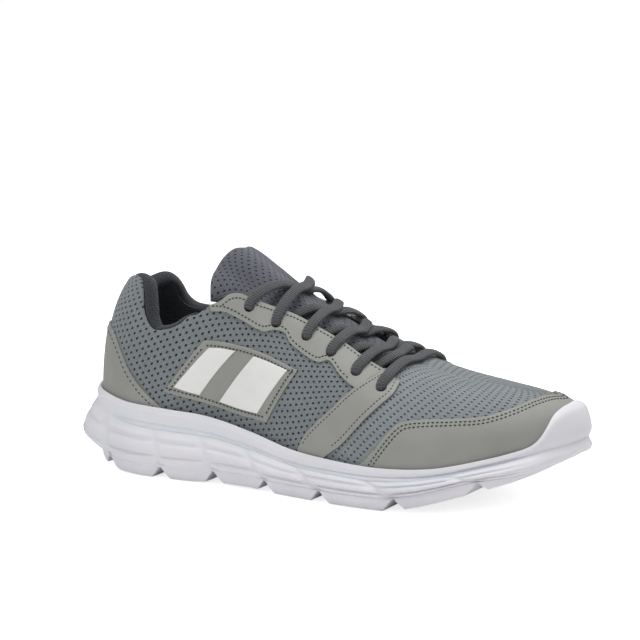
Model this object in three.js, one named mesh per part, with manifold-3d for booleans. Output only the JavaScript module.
// A low-cut running shoe for the right foot, taken apart into the pieces that a shoemaker cuts, stitches
// and bonds. Millimetres, +Z up, +X from heel to toe, +Y towards the inner (medial) side of the foot.
import * as THREE from "three";
import { mergeVertices } from "three/addons/utils/BufferGeometryUtils.js";
import Module from "manifold-3d";

const wasm = await Module();
wasm.setup();

// ---------------------------------------------------------------------------------------------------
// Driving dimensions
// ---------------------------------------------------------------------------------------------------
const lastLength = 281; // feather line, from the heel's back to the toe's tip
const lastWidth = 98; // feather line across the ball of the foot
const upperHeight = 128; // top of the last's ridge above the ground

const meshThickness = 1.5;
const overlayThickness = 1.2;
const markThickness = 0.9;
const stiffenerThickness = 1.1;
const liningThickness = 0.8;
const foamThickness = 4.6;
const rollHeight = 6.8; // the padded roll along the collar's edge
const layerGap = 0.7; // air between two bonded layers
const partGap = 0.008; // between the quarter and the vamp, as a share of the last

const boardThickness = 1.6;
const socklinerThickness = 4;
const seatGap = 0.5; // under the board and under the sockliner
const treadGap = 0.7; // glue line over the tread pads

const rimThickness = 2.3; // the midsole's wall round the upper
const rimGap = 1.2; // between that wall and the overlays
const sidewallFlare = 8; // widest point of the sidewall, outside the feather line
const heelFlare = 15.5; // the same, behind the heel
const toeFlare = 5.6; // the same, in front of the toe
const edgeTuck = 2.6; // the sidewall's lower edge, inside its widest point
const treadHeight = 6.5;
const toeTread = 1.8; // the same, under the toe
const treadBevel = 2.2;
const flexGroove = 4.5; // between two tread pads, along the sole
const insoleRound = 2; // how far an insole's top is drawn in from its edge

const eyeletRadius = 3.1;
const laceRadius = 1.6;
const agletRadius = 1.9;
const agletLength = 18;

const tongueFace = 1.2;
const tongueFoam = 3.4;
const tongueGap = 1; // between two layers of the tongue
const tongueDrop = 1.3; // between the lower laces and the tongue, over the ridge
const flapDrop = 0.3; // the same at the tongue's free end
const flapCut = 0.5; // half of the gap between the tongue's root and its free flap

// ---------------------------------------------------------------------------------------------------
// The last: thirteen stations from heel to toe, drawn at 275 long, 96 wide and 125 high.
// ---------------------------------------------------------------------------------------------------
const drawn = { heel: 17, length: 275, width: 96, height: 125 };
// Each has the feather line's [x, y] on both sides, its height, the ridge's [x, y, z], how square the
// section is, how far its side swells, and the cup's depth in the midsole.
const station = (lateral, medial, rim, ridge, square, bulge, cup) =>
  ({ lateral, medial, rim, ridge, square, bulge, cup });
const stations = [
  station([17, 0], [17, 0], 41, [52, 0, 109], 2.3, -1.5, 10),
  station([25, -22], [25, 22], 39.5, [57, 0, 114], 2.5, -0.3, 10),
  station([47, -32], [47, 31], 35.2, [67, 0, 120], 3.1, 2.5, 9.5),
  station([73, -34], [73, 30], 33.3, [82, 0, 125], 3, 2.5, 9),
  station([99, -33.5], [99, 26], 31.5, [101, 0, 124], 2.7, 2.5, 8),
  station([126, -35.5], [126, 24.5], 26.5, [120, 0, 114], 2.4, 2.5, 7),
  station([153, -40.5], [153, 29], 21, [140, 0, 100.5], 2.2, 2.5, 5.5),
  station([180, -45.5], [180, 39], 19.5, [161, 0, 87.5], 2.1, 3, 5),
  station([207, -47], [207, 47], 19.3, [183, 0, 75], 2.1, 3.5, 5),
  station([233, -43], [233, 49], 21.5, [206, 1, 67], 2.1, 3.5, 5),
  station([257, -33], [258, 44], 27.5, [229, 3, 61.8], 2.2, 3.5, 5),
  station([279, -17], [280, 28], 34, [251, 5, 59], 2.3, 3, 4.6),
  station([292, 6], [292, 6], 37, [270, 6, 57], 2.4, 2.5, 4),
];
// Height of the tread's underside along the sole: rocker heel, flat heel strike, arch, flat ball, toe spring.
const treadLine = [
  [0, 11], [0.03, 9.5], [0.065, 6.5], [0.11, 3], [0.155, 0.8], [0.2, 0], [0.3, 0], [0.34, 1], [0.42, 1],
  [0.46, 0], [0.68, 0], [0.73, 3.5], [0.8, 10], [0.87, 16.5], [0.945, 24], [0.985, 29.5], [1, 32.5],
];
// The flex grooves between tread pads, and the places where the first pad starts and the last one ends.
const treadSplits = [0.004, 0.128, 0.24, 0.345, 0.45, 0.56, 0.69, 0.82, 0.93];

const scale = {
  x: (x) => (x - drawn.heel) * (lastLength / drawn.length),
  y: (y) => y * (lastWidth / drawn.width),
  z: (z) => z * (upperHeight / drawn.height),
};

const clamp = (x, low, high) => Math.min(high, Math.max(low, x));
const mix = (a, b, t) => a + (b - a) * t;
const smooth = (low, high, x) => {
  const t = clamp((x - low) / (high - low), 0, 1);
  return t * t * (3 - 2 * t);
};

// Catmull-Rom through evenly spaced values; before and after are the neighbours past the two ends.
function spline(values, t, before, after) {
  const last = values.length - 1;
  const at = clamp(t, 0, 1) * last;
  const i = Math.min(Math.floor(at), last - 1);
  const f = at - i;
  const p1 = values[i];
  const p2 = values[i + 1];
  const p0 = i > 0 ? values[i - 1] : (before ?? 2 * p1 - p2);
  const p3 = i < last - 1 ? values[i + 2] : (after ?? 2 * p2 - p1);
  return 0.5 * (2 * p1 + (p2 - p0) * f + (2 * p0 - 5 * p1 + 4 * p2 - p3) * f * f
    + (3 * p1 - p0 - 3 * p2 + p3) * f * f * f);
}

// Straight runs between [position, value] pairs.
function profile(pairs, t) {
  const i = clamp(pairs.findIndex(([at]) => at > t), 1, pairs.length - 1);
  const end = pairs.at(-1);
  if (t >= end[0]) return end[1];
  const [[a, va], [b, vb]] = [pairs[i - 1], pairs[i]];
  return mix(va, vb, clamp((t - a) / (b - a), 0, 1));
}

const column = (pick) => stations.map(pick);
const rims = column((s) => s.rim);
const squares = column((s) => s.square);
const bulges = column((s) => s.bulge);
const cups = column((s) => s.cup);
const outline = { [-1]: column((s) => s.lateral), [1]: column((s) => s.medial) };

// A point of the feather line, where the upper meets the sole. side is -1 lateral or 1 medial.
function feather(side, a) {
  const own = outline[side];
  const other = outline[-side];
  const [x, y] = [0, 1].map((k) => spline(own.map((p) => p[k]), a, other[1][k], other.at(-2)[k]));
  return new THREE.Vector3(scale.x(x), scale.y(y), scale.z(spline(rims, a, rims[1], rims.at(-2))));
}

function ridge(a) {
  const [x, y, z] = [0, 1, 2].map((k) => spline(column((s) => s.ridge[k]), a));
  return new THREE.Vector3(scale.x(x), scale.y(y), scale.z(z));
}

// The last's skin: a runs from heel to toe and v from the feather line, 0, up to the ridge, 1.
// Below the feather line the skin drops straight down, skirt millimetres for each unit of v.
const skirt = 60;
function bareSkin(side, a, v) {
  const foot = feather(side, a);
  const top = ridge(a);
  const power = spline(squares, a);
  const angle = (clamp(v, 0, 1) * Math.PI) / 2;
  const c = Math.max(Math.cos(angle), 0);
  const s = Math.max(Math.sin(angle), 0);
  const reach = (c ** power + s ** power) ** (-1 / power);
  const across = new THREE.Vector3(foot.x - top.x, foot.y - top.y, 0);
  const swell = 1.6 * spline(bulges, a) * Math.sin(Math.PI * clamp(v, 0, 1)) * (1 - clamp(v, 0, 1));
  const point = new THREE.Vector3(top.x, top.y, mix(foot.z, top.z, reach * s) + Math.min(v, 0) * skirt);
  point.addScaledVector(across, reach * c);
  return point.addScaledVector(across.normalize(), swell);
}

function sideNormal(side, a, v) {
  const e = 1e-3;
  const at = clamp(v, 0.02, 0.98);
  const along = bareSkin(side, Math.min(a + e, 1), at).sub(bareSkin(side, Math.max(a - e, 0), at));
  const up = bareSkin(side, a, at + e).sub(bareSkin(side, a, at - e));
  return (side < 0 ? along.cross(up) : up.cross(along)).normalize();
}

// Where the two halves meet, at the heel, at the toe and along the ridge, they share one normal.
function skinNormal(side, a, v) {
  const own = sideNormal(side, a, v);
  const seam = Math.max(smooth(0.9, 1, v), 1 - smooth(0, 0.02, a), smooth(0.98, 1, a));
  if (seam === 0) return own;
  const [left, right] = [sideNormal(-1, a, v), sideNormal(1, a, v)];
  return own.lerp(left.add(right).normalize(), seam).normalize();
}

// The whole skin as one map. s runs round the foot: 0 at the heel, up the lateral side to 1 at the toe and
// on down the medial side to 2; below 0 it goes round the heel the other way. v past 1 is over the ridge.
// w is the distance outwards from the skin, which is the upper's outer face.
function skin(s, v, w) {
  const over = v > 1;
  const medial = s < 0 || s > 1;
  const a = s < 0 ? -s : s > 1 ? 2 - s : s;
  const side = medial !== over ? 1 : -1;
  const height = over ? 2 - v : v;
  return bareSkin(side, a, height).addScaledVector(skinNormal(side, a, height), w);
}

// ---------------------------------------------------------------------------------------------------
// Builders
// ---------------------------------------------------------------------------------------------------
// A closed geometry from points and quads or triangles, facing outwards.
function closed(points, faces) {
  const triangles = faces.flatMap(([a, b, c, d]) => (d === undefined ? [[a, b, c]] : [[a, b, c], [a, c, d]]));
  const flat = new THREE.BufferGeometry()
    .setAttribute("position", new THREE.Float32BufferAttribute(points.flatMap((p) => p.toArray()), 3))
    .setIndex(triangles.flat());
  const welded = mergeVertices(flat, 1e-3);
  const source = welded.index.array;
  const place = (i) => new THREE.Vector3().fromBufferAttribute(welded.attributes.position, i);
  const index = [];
  let volume = 0;
  for (let i = 0; i < source.length; i += 3) {
    const [a, b, c] = source.slice(i, i + 3);
    if (a === b || b === c || a === c) continue;
    index.push(a, b, c);
    volume += place(a).dot(place(b).cross(place(c)));
  }
  if (volume < 0) index.reverse();
  return welded.setIndex(index);
}

// A sheet with a front and a back: front(u, t) and back(u, t) give its two faces over n by m cells.
// A folded sheet closes on itself along u = 1, so it has no wall there.
function sheet(n, m, front, back, folded = false) {
  const points = [];
  const faces = [];
  for (const face of [front, back]) {
    for (let i = 0; i <= n; i++) for (let j = 0; j <= m; j++) points.push(face(i / n, j / m));
  }
  const backs = (n + 1) * (m + 1);
  const id = (i, j) => i * (m + 1) + j;
  for (let i = 0; i < n; i++) {
    for (let j = 0; j < m; j++) {
      const quad = [id(i, j), id(i + 1, j), id(i + 1, j + 1), id(i, j + 1)];
      faces.push(quad, quad.map((k) => k + backs).reverse());
    }
  }
  const wall = (a, b) => faces.push([b, a, a + backs, b + backs]);
  for (let i = 0; i < n; i++) {
    wall(id(i, 0), id(i + 1, 0));
    wall(id(i + 1, m), id(i, m));
  }
  for (let j = 0; j < m; j++) {
    if (!folded) wall(id(n, j), id(n, j + 1));
    wall(id(0, j + 1), id(0, j));
  }
  return closed(points, faces);
}

// A curve on the skin through [s, v] pairs, read by its share u of the points' count.
function seam(pairs) {
  const curve = new THREE.SplineCurve(pairs.map(([s, v]) => new THREE.Vector2(s, v)));
  return (u) => curve.getPoint(u);
}

// A panel of the upper between a lower and an upper seam, from depth w0 to w1, which may be functions.
function panel(lower, upper, n, m, w0, w1) {
  const [low, high] = [seam(lower), seam(upper)];
  const depth = (w, p) => (typeof w === "function" ? w(p.x, p.y) : w);
  const face = (w) => (u, t) => {
    const p = low(u).lerp(high(u), t);
    return skin(p.x, p.y, depth(w, p));
  };
  return sheet(n, m, face(w1), face(w0));
}

// The same seam on the medial side, and a seam carried on round the toe or the heel.
const mirrored = (pairs) => pairs.map(([s, v]) => [2 - s, v]);
const roundToe = (pairs) => [...pairs, ...mirrored(pairs).reverse().slice(1)];
const roundHeel = (pairs, medial = pairs) =>
  [...medial.slice(1).map(([s, v]) => [-s, v]).reverse(), ...pairs];
const shifted = (pairs, s, v) => pairs.map(([x, y]) => [x + s, y + v]);

// Places along one side of the sole, closer together round the heel and the toe.
const soleSteps = 30;
const solePlace = (i) => {
  const t = i / soleSteps;
  return t - 0.09 * Math.sin(2 * Math.PI * t);
};

// A solid from rings round the shoe, from the underside out, up and in to the top. ring(side, a) gives a
// point; the first and the last ring are closed across.
function stack(rings) {
  const steps = soleSteps;
  const loop = [];
  for (let i = 0; i <= steps; i++) loop.push([-1, solePlace(i)]);
  for (let i = steps - 1; i > 0; i--) loop.push([1, solePlace(i)]);
  const points = rings.flatMap((ring) => loop.map(([side, a]) => ring(side, a)));
  const count = loop.length;
  const faces = [];
  for (let r = 0; r < rings.length - 1; r++) {
    for (let k = 0; k < count; k++) {
      const next = (k + 1) % count;
      faces.push([r * count + k, r * count + next, (r + 1) * count + next, (r + 1) * count + k]);
    }
  }
  const partner = (i) => (count - i) % count;
  for (let i = 0; i < steps; i++) {
    const quad = [i, partner(i), partner(i + 1), i + 1];
    faces.push(quad, quad.map((k) => k + (rings.length - 1) * count).reverse());
  }
  return closed(points, faces);
}

function manifoldOf(geometry) {
  const bare = geometry.clone();
  for (const name of Object.keys(bare.attributes)) if (name !== "position") bare.deleteAttribute(name);
  const welded = mergeVertices(bare, 1e-4);
  return new wasm.Manifold(new wasm.Mesh({
    numProp: 3,
    vertProperties: welded.attributes.position.array,
    triVerts: new Uint32Array(welded.index.array),
  }));
}

function geometryOf(solid) {
  const { vertProperties, triVerts } = solid.getMesh();
  return new THREE.BufferGeometry()
    .setAttribute("position", new THREE.BufferAttribute(vertProperties, 3))
    .setIndex(new THREE.BufferAttribute(triVerts, 1));
}

const cut = (geometry, tools) =>
  geometryOf(tools.reduce((solid, tool) => solid.subtract(tool), manifoldOf(geometry)));

// ---------------------------------------------------------------------------------------------------
// Depths of the layers, measured outwards from the mesh's outer face
// ---------------------------------------------------------------------------------------------------
const overlayIn = layerGap;
const overlayOut = overlayIn + overlayThickness;
const markIn = overlayOut + layerGap;
const markOut = markIn + markThickness;
const stiffenerOut = -meshThickness - layerGap;
const stiffenerIn = stiffenerOut - stiffenerThickness;
const liningOut = stiffenerIn - layerGap;
const liningIn = liningOut - liningThickness;
const foamOut = liningOut;
const foamIn = foamOut - foamThickness;
const heelLiningOut = foamIn - layerGap;
const rimIn = overlayOut + rimGap;

const cupDepth = (a) => spline(cups, a);
const skirtTo = (a, above) => -(cupDepth(a) - above) / skirt; // v of a place above the cup's floor
const boardTop = seatGap + boardThickness;
const overBoard = boardTop + layerGap;

// ---------------------------------------------------------------------------------------------------
// Seam lines of the upper, as [s, v] on the lateral side
// ---------------------------------------------------------------------------------------------------
const collarSeam = [
  [0, 0.56], [0.045, 0.555], [0.09, 0.55], [0.135, 0.535], [0.168, 0.5], [0.183, 0.455], [0.193, 0.4],
  [0.203, 0.335], [0.22, 0.29], [0.245, 0.29], [0.27, 0.31], [0.29, 0.345], [0.305, 0.38], [0.32, 0.41],
];
const medialCollarSeam = [
  [0, 0.56], [0.04, 0.557], [0.075, 0.553], [0.1, 0.535], [0.12, 0.492], [0.136, 0.44], [0.15, 0.385],
  [0.168, 0.345], [0.195, 0.318], [0.23, 0.31], [0.26, 0.322], [0.285, 0.35], [0.304, 0.38], [0.32, 0.41],
];
const throatSeam = [
  [0.345, 0.455], [0.362, 0.505], [0.382, 0.535], [0.405, 0.545], [0.443, 0.58], [0.49, 0.635],
  [0.54, 0.665], [0.59, 0.68], [0.632, 0.665], [0.664, 0.655],
];
const scallop = [
  [0.332, 0.405], [0.36, 0.424], [0.395, 0.428], [0.43, 0.435], [0.455, 0.48], [0.474, 0.497], [0.49, 0.467],
  [0.54, 0.46], [0.565, 0.505], [0.586, 0.463], [0.604, 0.44],
];
const strapRear = [[0.505, 0.03], [0.522, 0.115], [0.57, 0.265], [0.611, 0.42], [0.64, 0.53], [0.668, 0.645]];
const strapFront = [[0.562, 0.03], [0.598, 0.125], [0.64, 0.295], [0.663, 0.39], [0.686, 0.49], [0.699, 0.6]];
const toeSeam = [
  [0.634, 0.02], [0.661, 0.16], [0.685, 0.272], [0.705, 0.328], [0.745, 0.365], [0.79, 0.385], [0.825, 0.395],
  [0.855, 0.43], [0.89, 0.5], [0.935, 0.63], [1, 0.8],
];
const heelSeam = [
  [0, 0.34], [0.06, 0.335], [0.1, 0.315], [0.13, 0.28], [0.155, 0.215], [0.17, 0.165], [0.2, 0.09],
  [0.245, 0.012],
];
const eyelets = [[0.4, 0.5], [0.455, 0.515], [0.517, 0.56], [0.568, 0.56], [0.618, 0.53], [0.665, 0.505]];

// How much further forward each medial eyelet sits.
const skewAt = (a) => 0.022 * (1 - smooth(0.6, 0.66, a));
const grey = { mesh: 0x8b9194, overlay: 0x8f908c, dark: 0x4a4c55, lining: 0x3f424d };
const white = 0xe6e5ea;
const finishes = {
  mesh: { color: grey.mesh, roughness: 0.9 },
  overlay: { color: grey.overlay, roughness: 0.6 },
  mark: { color: 0xf2f2f0, roughness: 0.5 },
  lining: { color: grey.lining, roughness: 0.95 },
  tongue: { color: 0x6f7079, roughness: 0.9 },
  foam: { color: 0xd8d2bd, roughness: 1 },
  board: { color: 0xcfc7b4, roughness: 1 },
  stiffener: { color: 0xb9b4a4, roughness: 0.7 },
  sole: { color: white, roughness: 0.55 },
  lace: { color: grey.dark, roughness: 0.9 },
  aglet: { color: 0x2b2c30, roughness: 0.3 },
};

const shoe = new THREE.Group();
function add(name, finish, geometry) {
  const material = new THREE.MeshStandardMaterial({ metalness: 0, ...finishes[finish] });
  const mesh = new THREE.Mesh(geometry, material);
  mesh.name = name;
  shoe.add(mesh);
}

// A plain cylinder across every layer at an eyelet, to cut the hole.
function eyeletTool(side, [lateral, v]) {
  const a = side < 0 ? lateral : lateral + skewAt(lateral);
  const s = side < 0 ? a : 2 - a;
  const depth = 3 * (markOut - liningIn);
  const shape = new THREE.CylinderGeometry(eyeletRadius, eyeletRadius, depth, 8);
  const axis = skinNormal(side, a, v);
  shape.applyQuaternion(new THREE.Quaternion().setFromUnitVectors(new THREE.Vector3(0, 1, 0), axis));
  const centre = skin(s, v, 0);
  return manifoldOf(shape.translate(centre.x, centre.y, centre.z));
}
const eyeletTools = {
  [-1]: eyelets.map((e) => eyeletTool(-1, e)),
  [1]: eyelets.map((e) => eyeletTool(1, e)),
};
const sides = [["lateral", -1], ["medial", 1]];
const onSide = (side, pairs) => (side < 0 ? pairs : mirrored(pairs));
const lowerEdge = (places, above) => places.map((a) => [a, skirtTo(a, above)]);

// ---------------------------------------------------------------------------------------------------
// Sole
// ---------------------------------------------------------------------------------------------------
// The feather line's outward direction, level with the ground.
function outwards(side, a) {
  const normal = skinNormal(side, a, 0.02).setZ(0);
  return normal.normalize();
}

const ground = (a) => scale.z(profile(treadLine, a));
const flare = (a) => {
  const heel = 1 - smooth(0, 0.14, a);
  const toe = smooth(0.86, 1, a);
  return sidewallFlare + (heelFlare - sidewallFlare) * heel + (toeFlare - sidewallFlare) * toe;
};
// A point beside the feather line: out millimetres outwards, at height z.
function beside(side, a, out, z) {
  const point = feather(side, a).addScaledVector(outwards(side, a), out);
  return point.setZ(z);
}
const treadTop = (a) =>
  ground(a) + mix(treadHeight, toeTread, smooth(0.78, 0.93, a)) * (1 - smooth(0.93, 0.96, a));
const rimLine = [
  [0, 0.02], [0.86, 0.02], [0.895, 0.03], [0.912, 0.075], [0.926, 0.2], [0.94, 0.33], [0.963, 0.42], [1, 0.5],
];
const onSkin = (side, a, v, w) => skin(side < 0 ? a : 2 - a, v, w);
const rimHeight = (a) => profile(rimLine, a);

// The foam midsole: sidewall, rim and toe bumper outside, and the cup that the upper is bonded into.
function midsole() {
  const sideHeight = (a, t) => mix(treadTop(a), feather(-1, a).z, t);
  const lipOut = rimIn + rimThickness;
  return stack([
    (side, a) => beside(side, a, flare(a) - edgeTuck, treadTop(a)),
    (side, a) => beside(side, a, flare(a) - 0.6, sideHeight(a, 0.14)),
    (side, a) => beside(side, a, flare(a), sideHeight(a, 0.34)),
    (side, a) => beside(side, a, mix(flare(a), lipOut, 0.55), sideHeight(a, 0.62)),
    (side, a) => beside(side, a, lipOut - 0.4, sideHeight(a, 0.86)),
    (side, a) => onSkin(side, a, rimHeight(a) * 0.5, lipOut),
    (side, a) => onSkin(side, a, rimHeight(a), lipOut - 0.3),
    (side, a) => onSkin(side, a, rimHeight(a) + 0.012, rimIn + rimThickness / 2),
    (side, a) => onSkin(side, a, rimHeight(a), rimIn),
    (side, a) => onSkin(side, a, rimHeight(a) * 0.5, rimIn),
    (side, a) => beside(side, a, rimIn, feather(side, a).z - 0.5),
    (side, a) => beside(side, a, rimIn, feather(side, a).z - cupDepth(a)),
  ]);
}

// One tread pad between two flex grooves, with bevelled edges.
function treadPad(from, to) {
  const groove = flexGroove / 2 / lastLength;
  const bevel = treadBevel / lastLength;
  const face = (top) => (u, t) => {
    const inset = groove + (top ? 0 : bevel);
    const a = mix(from + inset, to - inset, u);
    const out = flare(a) - edgeTuck - (top ? 0 : treadBevel);
    const z = top ? treadTop(a) - treadGap : ground(a);
    return beside(-1, a, out, z).lerp(beside(1, a, out, z), t);
  };
  return sheet(7, 3, face(true), face(false));
}

function sole() {
  add("midsole", "sole", midsole());
  treadSplits.slice(1).forEach((to, i) => add(`tread_pad_${i + 1}`, "sole", treadPad(treadSplits[i], to)));
}

// A flat piece inside the cup, inset from the feather line, between two heights above the cup's floor.
function cupPiece(inset, low, high, dish) {
  const floor = (side, a) => feather(side, a).z - cupDepth(a);
  return stack([
    (side, a) => beside(side, a, -inset, floor(side, a) + low),
    (side, a) => beside(side, a, -inset, floor(side, a) + high + dish),
    (side, a) => beside(side, a, -inset - insoleRound - dish, floor(side, a) + high),
  ]);
}

function insoles() {
  add("insole_board", "board", cupPiece(-stiffenerOut, seatGap, boardTop, 0));
  const low = boardTop + seatGap;
  add("sockliner", "lining", cupPiece(-liningIn + 1.6, low, low + socklinerThickness, 1));
}

// ---------------------------------------------------------------------------------------------------
// Upper
// ---------------------------------------------------------------------------------------------------
// The line where each quarter meets the vamp, hidden by the strap.
const partFoot = [0.522, skirtTo(0.522, seatGap)];
const partHead = [0.66, 0.655];
const quarterLow = [
  0.003, 0.045, 0.09, 0.135, 0.165, 0.18, 0.193, 0.207, 0.222, 0.24, 0.262, 0.282, 0.3, 0.316, 0.335,
  0.35, 0.366, 0.384, 0.41, 0.437, 0.463, 0.487, 0.505,
];

function quarters() {
  for (const [name, side] of sides) {
    const lower = [...lowerEdge(quarterLow, seatGap), partFoot];
    const collarEdge = side < 0 ? collarSeam : medialCollarSeam;
    const upper = [[0.003, 0.56], ...collarEdge.slice(1), ...throatSeam.slice(0, -1), partHead];
    const mesh = panel(onSide(side, lower), onSide(side, upper), 38, 5, -meshThickness, 0);
    add(`quarter_mesh_${name}`, "mesh", cut(mesh, eyeletTools[side].slice(0, -1)));
    const inner = [
      [0.34, 0.39], [0.38, 0.4], [0.42, 0.41], [0.46, 0.42], [0.5, 0.43], [0.54, 0.43], [0.6, 0.42],
    ];
    const foot = lowerEdge([0.34, 0.37, 0.4, 0.43, 0.46, 0.49, 0.52], overBoard);
    const lining = panel(onSide(side, foot), onSide(side, inner), 8, 4, liningIn, liningOut);
    add(`quarter_lining_${name}`, "lining", lining);
  }
}

// The vamp runs from the strap and the throat to the toe, where its two halves close on each other.
function vampSheet(rear, n, m, w0, w1) {
  const edge = seam([...rear, ...rear.slice(0, -1).map(([a, v]) => [a, 2 - v]).reverse()]);
  const face = (w) => (u, t) => {
    const p = edge(t);
    return skin(mix(p.x, 1, u), p.y, w);
  };
  return sheet(n, m, face(w1), face(w0), true);
}

function vamp() {
  const partAt = (t) => [mix(partFoot[0], partHead[0], t) + partGap, mix(partFoot[1], partHead[1], t)];
  const rear = [...[0, 0.2, 0.4, 0.6, 0.8, 1].map(partAt), [0.692, 0.72], [0.704, 0.86], [0.707, 1]];
  const tools = [eyeletTools[-1].at(-1), eyeletTools[1].at(-1)];
  add("vamp_mesh", "mesh", cut(vampSheet(rear, 15, 20, -meshThickness, 0), tools));
  const inner = [[0.55, skirtTo(0.55, overBoard)], [0.57, 0.1], [0.62, 0.25], [0.66, 0.38], [0.7, 0.5],
    [0.73, 0.62], [0.745, 0.75], [0.75, 0.88], [0.75, 1]];
  add("vamp_lining", "lining", vampSheet(inner, 10, 16, liningIn, liningOut));
}

function overlays() {
  for (const [name, side] of sides) {
    const top = [[0.327, 0.425], ...throatSeam.slice(0, -1), [0.658, 0.655]];
    const eyestay = panel(onSide(side, scallop), onSide(side, top), 32, 2, overlayIn, overlayOut);
    add(`eyestay_${name}`, "overlay", cut(eyestay, eyeletTools[side]));
    const rear = onSide(side, shifted([[0.497, -0.02], ...strapRear], 0.006, 0));
    const front = onSide(side, [[0.552, -0.02], ...strapFront]);
    const strap = panel(rear, front, 12, 3, overlayIn, overlayOut);
    add(`midfoot_strap_${name}`, "overlay", cut(strap, [eyeletTools[side].at(-1)]));
    const low = eyelets.map(([a, v]) => [a, v - 0.075]);
    const high = eyelets.map(([a, v]) => [a, v + 0.04]);
    const backing = panel(onSide(side, low), onSide(side, high), 15, 2, stiffenerIn, stiffenerOut);
    add(`eyelet_backing_${name}`, "stiffener", cut(backing, eyeletTools[side]));
  }
  const toeLow = toeSeam.map(([s], i) => [mix(0.6, 1, i / (toeSeam.length - 1)), -0.03]);
  add("toe_cap", "overlay", panel(roundToe(toeLow), roundToe(toeSeam), 40, 4, overlayIn, overlayOut));
  const heelLow = heelSeam.map(([s]) => [s * 1.02, -0.04]);
  const heel = panel(roundHeel(heelLow), roundHeel(heelSeam), 28, 4, overlayIn, overlayOut);
  add("heel_overlay", "overlay", heel);
}

// The side mark: two slanted bars on a stitched backing.
const markBacking = {
  low: [[0.243, 0.092], [0.295, 0.078], [0.345, 0.071], [0.395, 0.073], [0.444, 0.088]],
  high: [[0.322, 0.295], [0.367, 0.318], [0.412, 0.34], [0.457, 0.358], [0.505, 0.37]],
};
const markBars = [
  {
    low: [[0.265, 0.115], [0.29, 0.105], [0.315, 0.1]],
    high: [[0.333, 0.275], [0.358, 0.29], [0.383, 0.302]],
  },
  {
    low: [[0.353, 0.095], [0.39, 0.097], [0.427, 0.108]],
    high: [[0.418, 0.318], [0.453, 0.333], [0.486, 0.345]],
  },
];

function sideMarks() {
  for (const [name, side] of sides) {
    const at = (pairs) => onSide(side, pairs);
    const backing = panel(at(markBacking.low), at(markBacking.high), 14, 4, overlayIn, overlayOut);
    add(`mark_backing_${name}`, "overlay", backing);
    markBars.forEach(({ low, high }, i) => {
      add(`mark_bar_${i + 1}_${name}`, "mark", panel(at(low), at(high), 4, 4, markIn, markOut));
    });
  }
}

// Stiffeners bonded inside the mesh at the heel and the toe.
function stiffeners() {
  const counterHigh = [[0, 0.34], [0.07, 0.33], [0.13, 0.27], [0.18, 0.14], [0.21, 0.06]];
  const counterLow = lowerEdge(counterHigh.map(([s]) => s), overBoard);
  const counter = panel(roundHeel(counterLow), roundHeel(counterHigh), 28, 3, stiffenerIn, stiffenerOut);
  add("heel_counter", "stiffener", counter);
  const puffHigh = [[0.87, 0.2], [0.89, 0.3], [0.92, 0.4], [0.96, 0.46], [1, 0.48]];
  const puffLow = lowerEdge([0.865, 0.89, 0.92, 0.96, 1], overBoard);
  const puff = panel(roundToe(puffLow), roundToe(puffHigh), 22, 3, stiffenerIn, stiffenerOut);
  add("toe_puff", "stiffener", puff);
}

// Depth of the heel lining's outer face: against the counter at the bottom, behind the foam above it.
const foamFoot = 0.16;
const heelLiningDepth = (s, v) => mix(liningOut, heelLiningOut, smooth(0.02, foamFoot, v));

const collarRun = roundHeel(collarSeam.slice(0, -1), medialCollarSeam.slice(0, -1));

function collar() {
  const high = shifted(collarRun, 0, -0.012);
  const foamLow = collarRun.map(([s]) => [s, mix(foamFoot, 0.2, Math.abs(s) / 0.3)]);
  add("collar_foam", "foam", panel(foamLow, high, 44, 3, foamIn, foamOut));
  const liningLow = collarRun.map(([s]) => [s * 1.04, skirtTo(Math.abs(s * 1.04), overBoard)]);
  const innerDepth = (s, v) => heelLiningDepth(s, v) - liningThickness;
  add("heel_lining", "lining", panel(liningLow, high, 44, 5, innerDepth, heelLiningDepth));
  add("collar_roll", "lining", collarRoll());
}

// The padded knit roll over the collar's top edge: an oval section carried round the collar seam.
function collarRoll() {
  const line = seam(collarRun);
  const around = 8;
  const halfWidth = (0 - (heelLiningOut - liningThickness)) / 2;
  const halfHeight = rollHeight / 2;
  const place = (u) => {
    const p = line(u);
    return skin(p.x, p.y, -halfWidth);
  };
  const e = 1e-3;
  const ringPoint = (u, t) => {
    const p = line(u);
    const a = Math.abs(p.x);
    const outward = skinNormal(p.x < 0 ? 1 : -1, a, p.y);
    const along = place(Math.min(u + e, 1)).sub(place(Math.max(u - e, 0))).normalize();
    const up = new THREE.Vector3().crossVectors(outward, along).normalize();
    const taper = mix(0.45, 1, smooth(0, 0.1, Math.min(u, 1 - u)));
    const angle = 2 * Math.PI * t;
    const centre = skin(p.x, p.y, -halfWidth * taper);
    return centre.addScaledVector(outward, halfWidth * taper * Math.cos(angle))
      .addScaledVector(up, halfHeight * taper * (1 + Math.sin(angle)) + layerGap);
  };
  return tube(44, around, ringPoint);
}

// A closed tube: ringPoint(u, t) goes round a ring with t and along the tube with u.
function tube(n, around, ringPoint) {
  const points = [];
  const faces = [];
  for (let i = 0; i <= n; i++) for (let k = 0; k < around; k++) points.push(ringPoint(i / n, k / around));
  const id = (i, k) => i * around + (k % around);
  for (let i = 0; i < n; i++) {
    for (let k = 0; k < around; k++) faces.push([id(i, k), id(i, k + 1), id(i + 1, k + 1), id(i + 1, k)]);
  }
  for (let k = 1; k < around - 1; k++) {
    faces.push([id(0, 0), id(0, k + 1), id(0, k)], [id(n, 0), id(n, k), id(n, k + 1)]);
  }
  return closed(points, faces);
}

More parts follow.
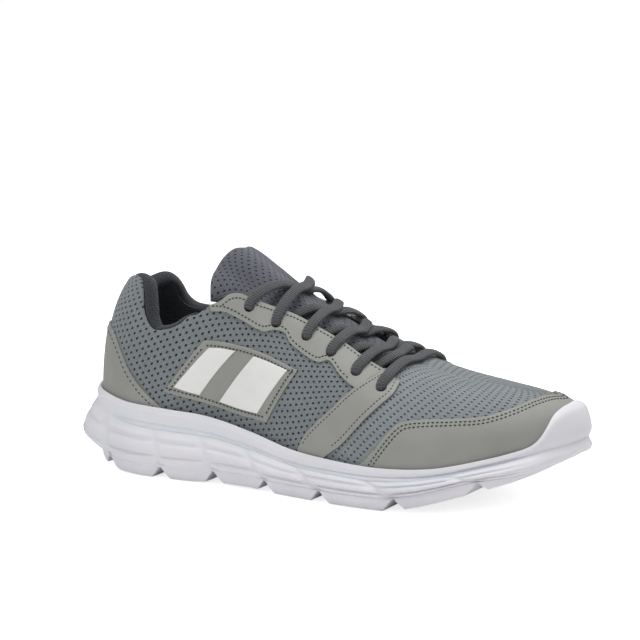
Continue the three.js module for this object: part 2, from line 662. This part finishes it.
// ---------------------------------------------------------------------------------------------------
// Tongue
// ---------------------------------------------------------------------------------------------------
// Its outer face lies under the laces in the throat and dives beside it, under the eyestays.
const tongueEdge = stiffenerIn - 2 * laceRadius - 1.2;
function tongueDepth(a, v) {
  const crown = smooth(0.62, 0.9, v > 1 ? 2 - v : v);
  const free = 1 - smooth(0.36, 0.46, a);
  return mix(tongueEdge - 2.5 * free, crossLow - laceRadius - mix(tongueDrop, flapDrop, free), crown);
}

function tongueLayer(out, thickness) {
  const rear = seam([[0.308, 0.45], [0.302, 0.58], [0.308, 0.72], [0.324, 0.86], [0.338, 1], [0.33, 1.14],
    [0.32, 1.28], [0.312, 1.42], [0.308, 1.55]]);
  const front = seam([[0.69, 0.6], [0.7, 0.68], [0.715, 0.76], [0.72, 0.88], [0.72, 1], [0.72, 1.12],
    [0.715, 1.24], [0.7, 1.32], [0.69, 1.4]]);
  const face = (depth) => (u, t) => {
    const p = rear(t).lerp(front(t), u);
    return skin(p.x, p.y, tongueDepth(p.x, p.y) - depth);
  };
  return sheet(11, 14, face(out), face(out + thickness));
}

// The flap hinges where it leaves the laces: a sloping cut, level across the shoe.
const hinge = new THREE.Vector3(scale.x(130), 0, scale.z(107.2));
const hingeSlope = 0.22;
function flapBlock(shift) {
  const size = 200;
  const block = new THREE.BoxGeometry(size, size, size);
  block.translate(-size / 2 + 20, 0, size / 2 + shift);
  block.rotateY(-Math.atan(hingeSlope));
  return manifoldOf(block.translate(hinge.x, 0, hinge.z));
}

function tongue() {
  const foamFrom = tongueFace + tongueGap;
  const liningFrom = foamFrom + tongueFoam + tongueGap;
  const layers = [
    ["tongue_face", "tongue", tongueLayer(0, tongueFace)],
    ["tongue_foam", "foam", tongueLayer(foamFrom, tongueFoam)],
    ["tongue_lining", "lining", tongueLayer(liningFrom, liningThickness)],
  ];
  for (const [name, finish, geometry] of layers) {
    const whole = manifoldOf(geometry);
    add(name, finish, geometryOf(whole.subtract(flapBlock(-flapCut))));
    add(name.replace("tongue", "flap"), finish, geometryOf(whole.intersect(flapBlock(flapCut))));
  }
}

// ---------------------------------------------------------------------------------------------------
// Lace
// ---------------------------------------------------------------------------------------------------
// Depths of the cord's middle: over an eyestay, under it, and the lower and upper strand of a crossing.
const laceOver = overlayOut + 1 + laceRadius;
const laceUnder = stiffenerIn - 0.5 - laceRadius;
const crossLow = 0.1;
const crossHigh = crossLow + 2 * laceRadius + 0.5;
// Depths of the cord's middle on its way through an eyelet, and how far the cord leans there, in v.
const [holeLow, holeMiddle, holeHigh] = [-1.6, 2, 3.8];
const holeLean = 0.012;

const eyeletAt = (row, side) => {
  const [a, v] = eyelets[row];
  return side < 0 ? [a, v] : [a + skewAt(a), 2 - v];
};

// The place on the skin at height v whose x is the given one, found by halving.
function placeAt(x, v, w) {
  let [low, high] = [0.3, 0.85];
  for (let i = 0; i < 24; i++) {
    const middle = (low + high) / 2;
    if (skin(middle, v, 0).x < x) low = middle;
    else high = middle;
  }
  return skin(low, v, w);
}

// A strand rises through its eyelet, crosses the tongue and dives under the far eyestay one row up.
// The first strand starts under its eyestay, and the last one ends in its eyelet from above.
const forward = 6; // how far the laces lean towards the toe where they cross
function strand(row, side) {
  const [first, last] = [row === eyelets.length - 1, row === 1];
  const [a0, v0] = eyeletAt(row, side);
  const [a1, v1] = eyeletAt(row - 1, -side);
  const [x0, x1] = [skin(a0, v0, 0).x, skin(a1, v1, 0).x];
  const cross = side < 0 ? crossHigh : crossLow;
  const lean = first ? -2 : forward;
  const at = (t, w) => placeAt(mix(x0, x1, t) + lean * Math.sin(Math.PI * t), mix(v0, v1, t), w);
  const climb = (a, v, out, w) => skin(a, v + out * holeLean, w);
  const [from, to] = [v0 < 1 ? 1 : -1, v0 < 1 ? -1 : 1];
  const rise = first
    ? [skin(a0 - 0.01, v0 + 0.05 * from, laceUnder), skin(a0 - 0.02, v0 + 0.13 * from, laceUnder + 0.4),
      at(0.36, side < 0 ? 1.6 : -0.4)]
    : [climb(a0, v0, 0, holeLow), climb(a0, v0, 0, holeMiddle), climb(a0, v0, from, holeHigh),
      at(0.09, laceOver + 0.2), at(0.28, mix(cross, laceOver, 0.5))];
  const dive = last
    ? [at(0.72, mix(cross, laceOver, 0.5)), at(0.91, laceOver + 0.2), climb(a1, v1, to, holeHigh),
      climb(a1, v1, 0, holeMiddle), climb(a1, v1, 0, holeLow)]
    : [at(0.67, 1.4), at(0.79, -3.6), at(0.9, laceUnder), climb(a1, v1, to, laceUnder + 0.6)];
  return [...rise, at(0.5, cross), ...dive];
}

function lacePath() {
  const bottom = eyelets.length - 1;
  const route = (side) => {
    const points = [];
    let from = side;
    for (let row = bottom; row > 0; row--) {
      points.push(...strand(row, from));
      from = -from;
    }
    const [a, v] = eyeletAt(0, from);
    const turn = from < 0 ? -1 : 1;
    const tail = (back, across, deeper) => skin(a - back, v + turn * across, laceUnder - deeper);
    points.push(tail(0.004, 0.02, 0.4), tail(0.02, 0.1, 1.8), tail(0.035, 0.18, 3));
    return points;
  };
  const [[a0, v0], [a1, v1]] = [eyeletAt(bottom, -1), eyeletAt(bottom, 1)];
  const [x0, x1] = [skin(a0, v0, 0).x, skin(a1, v1, 0).x];
  const bar = [0.09, 0.3, 0.5, 0.7, 0.91].map((t) => placeAt(mix(x0, x1, t) + 2 * Math.sin(Math.PI * t),
    mix(v0, v1, t), laceOver + 0.2));
  const drop = (a, v, turn) => [skin(a, v + turn * holeLean, holeHigh), skin(a, v, holeMiddle),
    skin(a, v, holeLow), skin(a, v + turn * holeLean, laceUnder + 0.6)];
  return [...route(-1).reverse(), ...drop(a0, v0, 1).reverse(), ...bar, ...drop(a1, v1, -1), ...route(1)];
}

// A curve that is read by its points, so that it is finest where its points are closest.
class Route extends THREE.CatmullRomCurve3 {
  getPointAt(u, target) {
    return this.getPoint(u, target);
  }

  getTangentAt(u, target) {
    return this.getTangent(u, target);
  }
}

function lace() {
  const points = lacePath();
  const curve = new Route(points, false, "centripetal");
  const section = new THREE.Shape();
  section.absarc(0, 0, laceRadius, 0, 2 * Math.PI);
  const shape = new THREE.Shape(section.getSpacedPoints(8).slice(0, 8));
  const steps = points.length - 1;
  add("lace", "lace", new THREE.ExtrudeGeometry(shape, { steps, bevelEnabled: false, extrudePath: curve }));
  for (const [name, end, back] of [["aglet_lateral", 0, 1], ["aglet_medial", 1, -1]]) {
    const tip = curve.getPoint(end);
    const heading = curve.getTangent(end).multiplyScalar(-back);
    const rod = new THREE.CylinderGeometry(agletRadius, agletRadius * 0.8, agletLength, 10);
    rod.applyQuaternion(new THREE.Quaternion().setFromUnitVectors(new THREE.Vector3(0, -1, 0), heading));
    const centre = tip.addScaledVector(heading, agletLength / 2 + 0.3);
    add(name, "aglet", rod.translate(centre.x, centre.y, centre.z));
  }
}

sole();
insoles();
quarters();
vamp();
overlays();
sideMarks();
stiffeners();
collar();
tongue();
lace();

// The origin is under the middle of the shoe's box, on the ground.
const box = new THREE.Box3().setFromObject(shoe);
const middle = box.getCenter(new THREE.Vector3());
shoe.position.set(-middle.x, -middle.y, -box.min.z);

export default shoe;
